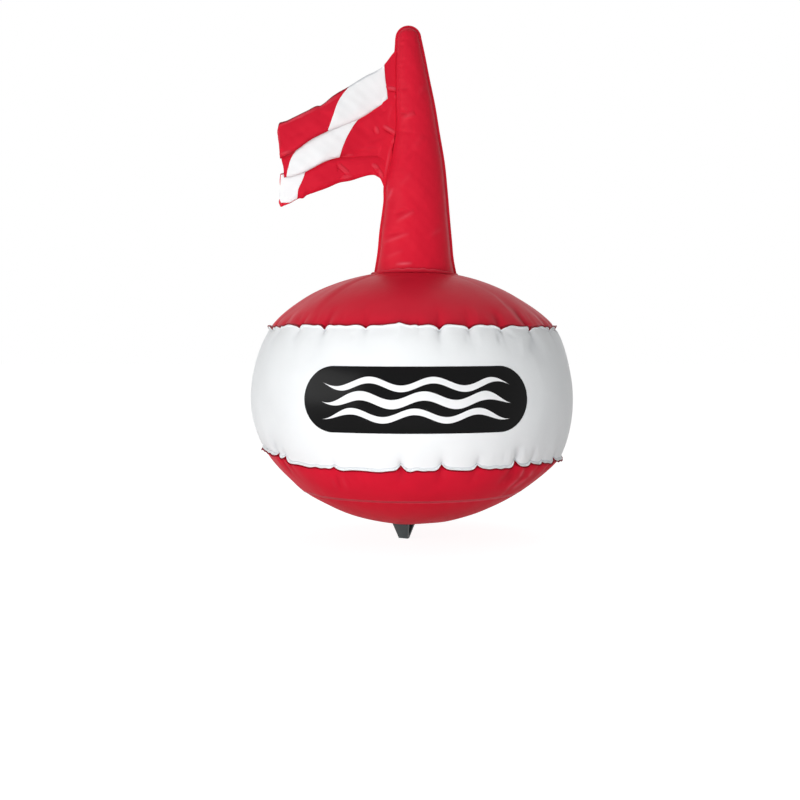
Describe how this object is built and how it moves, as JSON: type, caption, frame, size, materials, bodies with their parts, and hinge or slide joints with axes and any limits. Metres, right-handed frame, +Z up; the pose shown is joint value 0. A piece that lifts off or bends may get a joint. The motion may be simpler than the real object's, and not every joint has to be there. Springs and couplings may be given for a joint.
{
  "type": "dive flag float",
  "caption": "Inflatable round float with a white belt, a welded mast with a diver-down flag, a tow lug underneath and an inflation valve behind.",
  "frame": {"origin": "middle of the eye in the tow lug under the hull, where the line holds the float", "axes": "+Z up along the hull's axis, the label and the camera side face -Y, +X to the viewer's right, away from the flag"},
  "size_m": [0.3297, 0.3304, 0.5291],
  "materials": {
    "red_film": "soft PVC film, satin gloss",
    "white_film": "soft PVC film, satin gloss",
    "black_print": "printed film, glossy",
    "lug_black": "moulded, glossy",
    "valve_soft": "soft moulded, milky"
  },
  "bodies": {
    "hull": {"upper_dome_panel": "red_film", "girth_band_panel": "white_film", "lower_dome_panel": "red_film", "bottom_disc_panel": "red_film", "mast_front_panel": "red_film", "mast_back_panel": "red_film", "mast_foot_collar": "red_film", "front_label": "black_print", "tow_lug": "lug_black", "valve_flange": "valve_soft"},
    "flag": {"flag_front_panel": "red_film", "flag_back_panel": "red_film", "flag_front_stripe": "white_film", "flag_back_stripe": "white_film"},
    "valve": {"valve_stem": "valve_soft", "plug_strap_ring": "valve_soft"},
    "plug": {"valve_plug": "valve_soft"},
    "flap": {"check_flap": "valve_soft"}
  },
  "joints": [
    {"name": "flag_swing", "type": "hinge", "parent": "hull", "child": "flag", "pos_m": [-0.016, 0, 0.4204], "axis": [0.0851, 0, 0.9964], "range_deg": [-80, 80], "stiffness_Nm_per_rad": 0.01},
    {"name": "stem_push", "type": "slide", "parent": "hull", "child": "valve", "axis": [0, -0.4779, -0.8784], "range_m": [0, 0.01]},
    {"name": "plug_flip", "type": "hinge", "parent": "valve", "child": "plug", "pos_m": [0.01875, 0.11223, 0.25017], "axis": [0, 0.8784, -0.4779], "range_deg": [0, 150]},
    {"name": "flap_open", "type": "hinge", "parent": "valve", "child": "flap", "pos_m": [0.01345, 0.10273, 0.23272], "axis": [0, -0.8784, 0.4779], "range_deg": [0, 60], "stiffness_Nm_per_rad": 0.00005, "springref_deg": -11.46}
  ]
}
